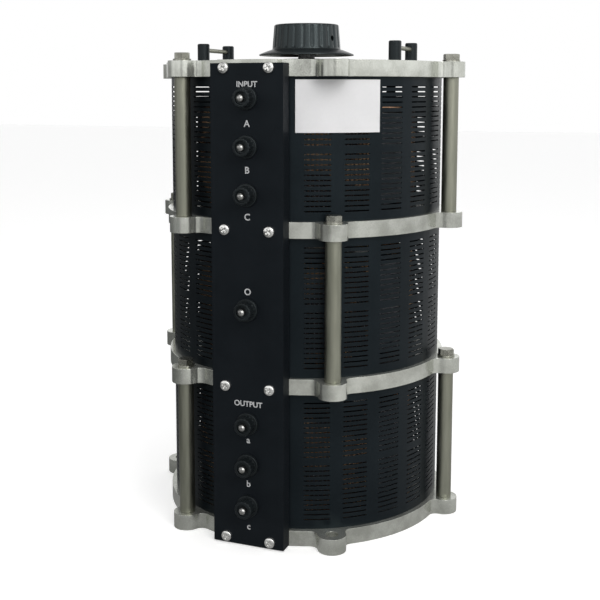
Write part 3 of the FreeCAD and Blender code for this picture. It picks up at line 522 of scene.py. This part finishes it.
def wireWinding(tier):
    # turns of enamelled wire side by side round the ring core
    shape = windingShape
    halfWire = shape["wire"] / 2
    low = tierFloor[tier] + shape["seat"]
    bottom, top = low + halfWire, low + shape["height"] - halfWire
    inner, outer = shape["inner"] + halfWire, shape["outer"] - halfWire
    corners = [(inner, bottom), (outer, bottom), (outer, top), (inner, top)]
    loop = rounded([(*corner, shape["corner"]) for corner in corners], shape["cornerSteps"])
    sweep = 360 - shape["gapAngle"]
    start = shape["gapCentre"] + shape["gapAngle"] / 2
    bm = bmesh.new()
    for turn in range(shape["turns"]):
        addTurn(bm, loop, start + sweep * (turn + 0.5) / shape["turns"], sweep / shape["turns"])
    obj = settle(tier + "Wire", fromParts(bm), "frame", "copper", smooth=60)
    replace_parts(obj, tier + "_winding")


def addTurn(bm, loop, angle, pitchAngle):
    # one closed turn of wire, squeezed narrower where the turns crowd on the inner side
    halfWire, sides = windingShape["wire"] / 2, windingShape["wireSides"]
    sideways = Vector((math.cos(math.radians(angle)), math.sin(math.radians(angle)), 0))
    rings = []
    for i in range(len(loop)):
        before, here, after = Vector(loop[i - 1]), Vector(loop[i]), Vector(loop[(i + 1) % len(loop)])
        along = (after - before).normalized()
        outward = Vector((along.y, -along.x))
        halfWidth = min(halfWire, here.x * math.radians(pitchAngle) / 2 * windingShape["fill"])
        ring = []
        for k in range(sides):
            a = 2 * math.pi * k / sides
            flat = here + outward * (math.cos(a) * halfWire)
            ring.append(bm.verts.new(polar(flat.x, angle, flat.y) + sideways * (math.sin(a) * halfWidth)))
        rings.append(ring)
    for i, near in enumerate(rings):
        far = rings[(i + 1) % len(rings)]
        for k in range(sides):
            following = (k + 1) % sides
            bm.faces.new((near[k], near[following], far[following], far[k]))


for tier in tiers:
    wireWinding(tier)
print("windings made")


# nodes that keep their solid's shape with broken edges, by finish, each with its edge's width
softenedNodes = {
    "casting": [(plate + "_casting", "frame", 0.0008) for plate in ("base", "lower", "upper", "top")],
    "zinc_steel": [(tier + "_posts", "frame", 0.0004) for tier in tiers] + [("handle_rods", "frame", 0.0002)],
    "panel": [("terminal_panel", "frame", 0.0004)],
    "black_plastic": [("bearing_cap", "frame", 0.0003), ("handle_ferrules", "frame", 0.0004)],
    "plate_paint": [("nameplate", "frame", 0.0002)],
    "bolt": [("post_bolts", "frame", 0.0003), ("post_washers", "frame", 0.0002)],
}
for finish, nodes in softenedNodes.items():
    for node, bodyName, edge in nodes:
        softened(node, bodyName, finish, edge)
print("castings and posts made")


terminalShape = dict(heights=(0.390, 0.3495, 0.309, 0.211, 0.111, 0.074, 0.037), front=-0.142,
                     flange=0.0098, flangeHeight=0.0026, barrel=0.0079, barrelHeight=0.012, footFlare=0.0001,
                     footHeight=0.0012, rim=0.0026, dish=0.0030, dishDepth=0.0016, neck=0.0055,
                     neckDepth=0.0055, boreGap=0.00003, boreEdge=0.0004, barrelSteps=3,
                     stud=0.003, tip=0.0016, tipLength=0.0014, studOut=0.015, studIn=0.018, studSteps=4,
                     studSides=32, flutes=14, fluteSides=8, fluteDepth=0.0005, fluteMargin=0.001,
                     flutePower=3)


def terminals():
    # insulated barrels with a flange, a fluted grip and a dished top, each on a round-tipped stud
    shape = terminalShape
    barrel, top, flangeTop = shape["barrel"], shape["barrelHeight"], shape["flangeHeight"]
    bore, foot, dish = shape["stud"] + shape["boreGap"], -shape["neckDepth"], top - shape["dishDepth"]
    barrelOutline = rounded([
        (bore, foot, 0), (shape["neck"], foot, 0.0003), (shape["neck"], 0.0, 0), (shape["flange"], 0.0, 0),
        (shape["flange"], flangeTop, 0.0008), (barrel + shape["footFlare"], flangeTop, 0),
        (barrel, flangeTop + shape["footHeight"], 0.0004), (barrel, top, 0.0009),
        (barrel - shape["rim"], top, 0.0004), (barrel - shape["dish"], dish, 0.0003),
        (bore + shape["boreEdge"], dish, 0.0002), (bore, dish - shape["boreEdge"], 0)], shape["barrelSteps"])
    studFoot, studTop = -shape["studIn"], shape["studOut"]
    studOutline = rounded([
        (0.0, studFoot, 0), (shape["stud"], studFoot, 0.0005),
        (shape["stud"], studTop - shape["tipLength"], 0.0006), (shape["tip"], studTop, 0.0005),
        (0.0, studTop, 0)], shape["studSteps"])

    def fluted(r, z, a):
        if r < barrel - shape["fluteMargin"] or z < flangeTop + shape["fluteMargin"]:
            return r
        return r - shape["fluteDepth"] * (0.5 - 0.5 * math.cos(a * shape["flutes"])) ** shape["flutePower"]

    barrels, studs = bmesh.new(), bmesh.new()
    for height in shape["heights"]:
        where = Matrix.Translation((0, shape["front"], height)) @ forward
        lathe(barrels, barrelOutline, shape["flutes"] * shape["fluteSides"], where, fluted)
        lathe(studs, studOutline, shape["studSides"], where)
    for bm in (barrels, studs):
        sew(bm)
    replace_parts(settle("terminalBarrelSet", fromParts(barrels), "frame", "black_plastic"), "terminal_barrels")
    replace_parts(settle("terminalStudSet", fromParts(studs), "frame", "stud"),
                "terminal_studs")


letterShape = dict(front=-0.142, rise=0.00006, x=0.0004, capHeight=0.0056, wordHeight=0.0048, capShare=0.72,
                   bold=0.00018)
lettering = [("INPUT", 0.4015, "wordHeight"), ("A", 0.3690, "capHeight"), ("B", 0.3300, "capHeight"),
             ("C", 0.2905, "capHeight"), ("O", 0.2265, "capHeight"), ("OUTPUT", 0.1285, "wordHeight"),
             ("a", 0.0955, "capHeight"), ("b", 0.0570, "capHeight"), ("c", 0.0175, "capHeight")]


def printed(text, height, size):
    # letters screen-printed on the panel's front
    shape = letterShape
    curve = bpy.data.curves.new("print", "FONT")
    curve.body = text
    curve.align_x, curve.align_y = "CENTER", "CENTER"
    curve.size = shape[size] / shape["capShare"]
    curve.extrude = shape["rise"] / 2
    curve.offset = shape["bold"]
    holder = bpy.data.objects.new("print", curve)
    bpy.context.scene.collection.objects.link(holder)
    mesh = bpy.data.meshes.new_from_object(holder.evaluated_get(bpy.context.evaluated_depsgraph_get()))
    bpy.data.objects.remove(holder)
    levels = [v.co.y for v in mesh.vertices]
    centred = Matrix.Translation((0, -0.5 * (min(levels) + max(levels)), 0))
    mesh.transform(Matrix.Translation((shape["x"], shape["front"], height)) @ forward @ centred)
    return mesh


def letters():
    bm = bmesh.new()
    for text, height, size in lettering:
        bm.from_mesh(printed(text, height, size))
    settle("panelPrint", fromParts(bm), "frame", "print", smooth=20)


terminals()
letters()
print("terminals made")


screwShape = dict(x=0.0205, heights=(0.007, 0.143, 0.279, 0.415), front=-0.142, head=0.0049,
                  headHeight=0.0031, domeFall=0.30, rimFrom=0.86, rimHeight=0.778, slotHalf=0.00055,
                  slotLength=0.0027, slotDepth=0.0014, slotEdge=0.0002, slotRise=0.55, sides=72, rings=16,
                  turn=0.5, turnByRow=1.3, turnBySide=0.7)


def domeHeight(t):
    # the head's height at a share of its radius: a shallow dome with a rounded rim
    shape = screwShape
    if t < shape["rimFrom"]:
        return shape["headHeight"] * (1 - shape["domeFall"] * t ** 2)
    past = (t - shape["rimFrom"]) / (1 - shape["rimFrom"])
    return shape["headHeight"] * shape["rimHeight"] * math.sqrt(max(0.0, 1 - past ** 2))


def crossHead(bm, where):
    # a domed pan head with a cross recess
    shape = screwShape
    slotReach = shape["slotHalf"] + shape["slotEdge"]
    rings = []
    for j in range(shape["rings"] + 1):
        t = j / shape["rings"]
        r, z = shape["head"] * t, domeHeight(t)
        ring = []
        for k in range(shape["sides"]):
            a = 2 * math.pi * k / shape["sides"]
            x, y = r * math.cos(a), r * math.sin(a)
            across, along = sorted((abs(x), abs(y)))
            cut = 0.0
            if across < slotReach and along < shape["slotLength"]:
                cut = shape["slotDepth"] * (1 - shape["slotRise"] * along / shape["slotLength"])
                cut *= min(1.0, max(0.0, (slotReach - across) / shape["slotEdge"]))
            ring.append(bm.verts.new(where @ Vector((x, y, max(0.0, z - cut)))))
        rings.append(ring)
    for near, far in zip(rings, rings[1:]):
        for k in range(shape["sides"]):
            following = (k + 1) % shape["sides"]
            bm.faces.new((near[k], far[k], far[following], near[following]))
    bm.faces.new(list(reversed(rings[-1])))


def panelScrews():
    shape = screwShape
    bm = bmesh.new()
    for row, height in enumerate(shape["heights"]):
        for side in (-1, 1):
            turn = shape["turn"] + shape["turnByRow"] * row + shape["turnBySide"] * side
            spot = Matrix.Translation((side * shape["x"], shape["front"], height))
            crossHead(bm, spot @ forward @ Matrix.Rotation(turn, 4, "Z"))
    sew(bm)
    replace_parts(settle("panelScrewSet", fromParts(bm), "frame", "bright_steel", smooth=50), "panel_screws")


panelScrews()
print("screws made")


knobShape = dict(floor=0.429, skirt=0.045, edge=0.0012, bodyFoot=0.0325, bodyTop=0.0305, height=0.029,
                 bore=0.00802, boreDepth=0.017, hub=0.013, hubRise=0.0014, hollowInner=0.0145,
                 hollowRise=0.0040, hollowOuter=0.034, hollowDrop=0.0036, lip=0.0437, shoulder=0.0375,
                 shoulderRise=0.0042, footRise=0.0058, gripInset=0.0002, gripRise=0.0072, dish=0.0270,
                 dishFloor=0.0262, dishDepth=0.0008, cornerSteps=4, sideSteps=18, longSide=0.01,
                 flutes=24, fluteSides=12, fluteDepth=0.0009, fluteFoot=0.0065, fluteRunIn=0.002,
                 fluteRunOut=0.0018, flutePower=4,
                 screwAngle=71, screwRise=0.0155, screwHole=0.0026, holeFrom=0.018, holeTo=0.036,
                 holeSides=28)


def knobOutline():
    # from the bore out under the skirt, up the grip, over the dished top and down to the bore's end
    shape = knobShape
    foot, tall, bore = shape["bodyFoot"], shape["height"], shape["bore"]
    dish = tall - shape["dishDepth"]
    outline = rounded([
        (bore, shape["hubRise"], 0), (shape["hub"], shape["hubRise"], 0.0006),
        (shape["hollowInner"], shape["hollowRise"], 0.001),
        (shape["hollowOuter"], shape["hollowDrop"], 0.002), (shape["lip"], 0.0, 0.0003),
        (shape["skirt"], 0.0, 0.0004), (shape["skirt"], shape["edge"], 0.0005),
        (shape["shoulder"], shape["shoulderRise"], 0.003), (foot, shape["footRise"], 0.0012),
        (foot - shape["gripInset"], shape["gripRise"], 0.0006), (shape["bodyTop"], tall, 0.0016),
        (shape["dish"], tall, 0.0004), (shape["dishFloor"], dish, 0.0004), (0.0, dish, 0),
        (0.0, shape["boreDepth"], 0), (bore, shape["boreDepth"], 0)], shape["cornerSteps"])
    steps = shape["sideSteps"]
    fine = []
    for (r0, z0), (r1, z1) in zip(outline, outline[1:] + outline[:1]):
        fine.append((r0, z0))
        if abs(z1 - z0) > shape["longSide"] and r0 > shape["hub"]:  # the grip's side, for its flutes
            fine += [(r0 + (r1 - r0) * k / steps, z0 + (z1 - z0) * k / steps) for k in range(1, steps)]
    return fine


def drillScrewHole(obj):
    # the set screw's hole through the knob's side
    shape = knobShape
    low, high, wide = shape["holeFrom"], shape["holeTo"], shape["screwHole"]
    outward = polar(1.0, shape["screwAngle"], 0.0).to_track_quat("Z", "Y").to_matrix().to_4x4()
    where = Matrix.Translation((0, 0, shape["floor"] + shape["screwRise"])) @ outward
    drill = bmesh.new()
    lathe(drill, [(0.0, low), (wide, low), (wide, high), (0.0, high)], shape["holeSides"], where)
    tool = bpy.data.objects.new("drill", fromParts(sew(drill)))
    bpy.context.scene.collection.objects.link(tool)
    hole = obj.modifiers.new("hole", "BOOLEAN")
    hole.operation, hole.object, hole.solver = "DIFFERENCE", tool, "EXACT"
    settled(obj, 35)
    bpy.data.objects.remove(tool)


def knobPiece():
    shape = knobShape

    def fluted(r, z, a):
        if r < shape["dish"] or z < shape["fluteFoot"]:
            return r
        grip = min(1.0, (z - shape["fluteFoot"]) / shape["fluteRunIn"])
        grip *= min(1.0, max(0.0, (shape["height"] - z) / shape["fluteRunOut"]))
        wave = (0.5 + 0.5 * math.cos(a * shape["flutes"])) ** shape["flutePower"]
        return r - shape["fluteDepth"] * grip * wave

    bm = bmesh.new()
    where = Matrix.Translation((0, 0, shape["floor"]))
    lathe(bm, knobOutline(), shape["flutes"] * shape["fluteSides"], where, fluted)
    obj = settle("controlKnob", fromParts(sew(bm)), "rotor", "knob")
    drillScrewHole(obj)
    give(obj, "knob")
    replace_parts(obj, "knob")


knobPiece()
print("knob made")


# ends are where a change begins and stops: along x on the floor, and along a direction's part in the world; the
# floor's painted shade, painted light and painted glow change along x
studio = dict(floorSize=9.0, floorDrop=0.0002, floorColor=(0.9, 0.9, 0.9), floorRough=0.7, floorSpecular=0.1,
              # floorGlow whitens the floor to the camera; the left and right colours and glows after it are
              # painted shade and painted light for everything else
              floorGlow=0.42, bounceLeft=(0.09, 0.095, 0.095), bounceRight=(0.26, 0.26, 0.255),
              glowLeft=0.015, glowRight=0.33, bounceEnds=(-0.5, 0.4),
              world=0.46, worldBack=0.9, backEnds=(0.0, 0.7), haze=0.65, room=1.4, hazeEnds=(0.0, 0.04),
              ceiling=0.38, ceilingEnds=(0.2, 0.5), leftShare=0.38, leftEnds=(-0.95, -0.3),
              shade=0.28, shadeWay=(0.365, -0.926, -0.09), shadeEnds=(0.968, 0.990))
white = (1, 1, 1, 1)


def makeFloor():
    # a pale sheet that shows white and keeps a soft shadow; to everything but the camera it has painted shade
    # on the left and painted light on the right, and glows as painted light, more on the right
    size, low = studio["floorSize"], -studio["floorDrop"]
    mesh = bpy.data.meshes.new("floorSheet")
    mesh.from_pydata([(-size, -size, low), (size, -size, low), (size, size, low), (-size, size, low)],
                     [], [(0, 1, 2, 3)])
    floor = bpy.data.objects.new("floorSheet", mesh)
    bpy.context.scene.collection.objects.link(floor)
    shader = Shader("paleFloor")
    path = shader.add("ShaderNodeLightPath")
    seen = shader.add("ShaderNodeMath", operation="MAXIMUM", in0=path.outputs["Is Camera Ray"],
                      in1=path.outputs["Is Transmission Ray"]).outputs[0]
    place = shader.add("ShaderNodeTexCoord").outputs["Object"]
    along = shader.add("ShaderNodeSeparateXYZ", in0=place).outputs[0]
    side = spread(shader, along, 0.0, 1.0, *studio["bounceEnds"])
    # painted shade and light: for rays other than the camera's the floor is dark on the left and bright on the
    # right, so what mirrors it looks lit from the right
    bounce = ramp(shader, side, studio["bounceLeft"], studio["bounceRight"])
    shader.set(color=blend(shader, "RGBA", seen, bounce, studio["floorColor"]),
               roughness=studio["floorRough"], specular=studio["floorSpecular"])
    surface = shader.principled.outputs[0]
    glow = shader.add("ShaderNodeEmission", in0=white, in1=studio["floorGlow"])
    shown = shader.add("ShaderNodeAddShader", in0=surface, in1=glow.outputs[0])
    # painted light: the floor glows for rays other than the camera's, faint on the left and stronger on the
    # right, though it is no lamp
    paintedGlow = shader.add("ShaderNodeEmission", in0=white,
                       in1=spread(shader, side, studio["glowLeft"], studio["glowRight"]))
    paintedDim = shader.add("ShaderNodeAddShader", in0=surface, in1=paintedGlow.outputs[0])
    mixed = shader.add("ShaderNodeMixShader", in0=seen, in1=paintedDim.outputs[0], in2=shown.outputs[0])
    shader.join(mixed.outputs[0], shader.tree.nodes["Material Output"].inputs["Surface"])
    mesh.materials.append(shader.material)


def makeWorld():
    # white to the camera, even light to matt surfaces, and to gloss a bright room with a dark patch in front
    world = bpy.data.worlds.new("studioWorld")
    bpy.context.scene.world = world
    world.use_nodes = True
    nodes = Nodes(world.node_tree)
    nodes.tree.nodes.clear()
    path = nodes.add("ShaderNodeLightPath")
    way = nodes.add("ShaderNodeTexCoord").outputs["Generated"]
    parts = nodes.add("ShaderNodeSeparateXYZ", in0=way)
    across, depth, height = parts.outputs[0], parts.outputs[1], parts.outputs[2]
    toward = nodes.add("ShaderNodeVectorMath", operation="DOT_PRODUCT", in0=way, in1=studio["shadeWay"])
    foot = spread(nodes, height, studio["haze"], studio["room"], *studio["hazeEnds"])
    room = spread(nodes, height, foot, studio["ceiling"], *studio["ceilingEnds"])
    share = spread(nodes, across, studio["leftShare"], 1.0, *studio["leftEnds"])
    lit = nodes.add("ShaderNodeMath", operation="MULTIPLY", in0=room, in1=share)
    shade = spread(nodes, toward.outputs["Value"], lit.outputs[0], studio["shade"], *studio["shadeEnds"])
    around = spread(nodes, depth, studio["world"], studio["worldBack"], *studio["backEnds"])
    diffuse = nodes.add("ShaderNodeBackground", in0=white, in1=around)
    mirrored = nodes.add("ShaderNodeBackground", in0=white, in1=shade)
    backdrop = nodes.add("ShaderNodeBackground", in0=white, in1=1.0)
    light = nodes.add("ShaderNodeMixShader", in0=path.outputs["Is Glossy Ray"], in1=diffuse.outputs[0],
                      in2=mirrored.outputs[0])
    mixed = nodes.add("ShaderNodeMixShader", in0=path.outputs["Is Camera Ray"], in1=light.outputs[0],
                      in2=backdrop.outputs[0])
    out = nodes.add("ShaderNodeOutputWorld")
    nodes.join(mixed.outputs[0], out.inputs[0])


lamps = {
    "keyLamp": dict(where=(1.3, -1.1, 1.3), aim=(0, 0, 0.25), size=(0.9, 1.2), power=14.0,
                    color=(1.0, 0.985, 0.96)),
    "frontLamp": dict(where=(0.42, -1.25, 1.25), aim=(0, 0, 0.25), size=(1.1, 1.1), power=5.0,
                      color=(1, 1, 1)),
    "fillLamp": dict(where=(-1.5, -1.3, 0.8), aim=(0, 0, 0.2), size=(1.2, 1.4), power=2.0, color=(1, 1, 1)),
    "topLamp": dict(where=(-0.1, 0.2, 1.9), aim=(0, 0, 0.3), size=(1.2, 1.2), power=2.8, color=(1, 1, 1)),
}


def areaLamp(name, given):
    lamp = bpy.data.lights.new(name, "AREA")
    lamp.shape = "RECTANGLE"
    lamp.size, lamp.size_y = given["size"]
    lamp.energy, lamp.color = given["power"], given["color"]
    obj = bpy.data.objects.new(name, lamp)
    obj.location = given["where"]
    obj.rotation_euler = (Vector(given["aim"]) - Vector(given["where"])).to_track_quat("-Z", "Y").to_euler()
    bpy.context.scene.collection.objects.link(obj)


makeFloor()
makeWorld()
for name, given in lamps.items():
    areaLamp(name, given)

view = dict(where=(0.34879, -0.92809, 0.39663), azimuth=21.52, down=6.98, lens=61.73, sensor=36,
            shift=(0.0172, -0.14))
camera = bpy.data.cameras.new("camera")
camera.lens, camera.sensor_width = view["lens"], view["sensor"]
camera.shift_x, camera.shift_y = view["shift"]
cameraObject = bpy.data.objects.new("camera", camera)
bpy.context.scene.collection.objects.link(cameraObject)
cameraObject.location = view["where"]
cameraObject.rotation_euler = (math.radians(90 - view["down"]), 0, math.radians(view["azimuth"]))
bpy.context.scene.camera = cameraObject
bpy.context.scene.view_settings.view_transform = "Standard"
print("stage set")
